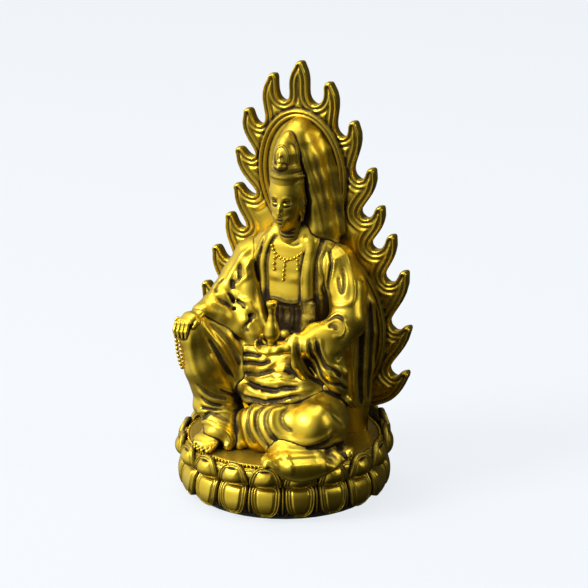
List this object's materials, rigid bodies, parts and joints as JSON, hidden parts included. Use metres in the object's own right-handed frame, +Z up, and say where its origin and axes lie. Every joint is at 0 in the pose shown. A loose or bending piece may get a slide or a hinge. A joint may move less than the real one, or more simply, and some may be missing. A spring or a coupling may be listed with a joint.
{
  "type": "seated bodhisattva statue",
  "caption": "Small cast brass bodhisattva seated at ease on a round double lotus base, a water vase in one hand, with an upright flame aureole behind.",
  "frame": {"origin": "centre of the felt pad's underside, where the statue meets the surface it stands on", "axes": "+Z up, -Y the way the figure faces, +X towards the figure's left hand"},
  "size_m": [0.0745, 0.0698, 0.14],
  "materials": {
    "antique_brass": "polished casting with dark antiquing wash in its recesses",
    "zinc_steel": "zinc plated",
    "green_felt": "pressed felt"
  },
  "bodies": {
    "root": {"crown": "antique_brass", "flame_aureole": "antique_brass", "head": "antique_brass", "lap_drapery": "antique_brass", "left_arm": "antique_brass", "left_hand": "antique_brass", "left_leg": "antique_brass", "lotus_base": "antique_brass", "lotus_seat": "antique_brass", "mantle": "antique_brass", "necklace": "antique_brass", "prayer_beads": "antique_brass", "right_arm": "antique_brass", "right_foot": "antique_brass", "right_hand": "antique_brass", "right_leg": "antique_brass", "skirt_drape": "antique_brass", "torso": "antique_brass", "veil": "antique_brass", "water_vase": "antique_brass", "base_plate": "antique_brass", "aureole_screw_1": "zinc_steel", "aureole_screw_2": "zinc_steel", "plate_screw_1": "zinc_steel", "plate_screw_2": "zinc_steel", "plate_screw_3": "zinc_steel", "tie_bolt": "zinc_steel", "tie_washer": "zinc_steel", "felt_pad": "green_felt"}
  },
  "joints": []
}
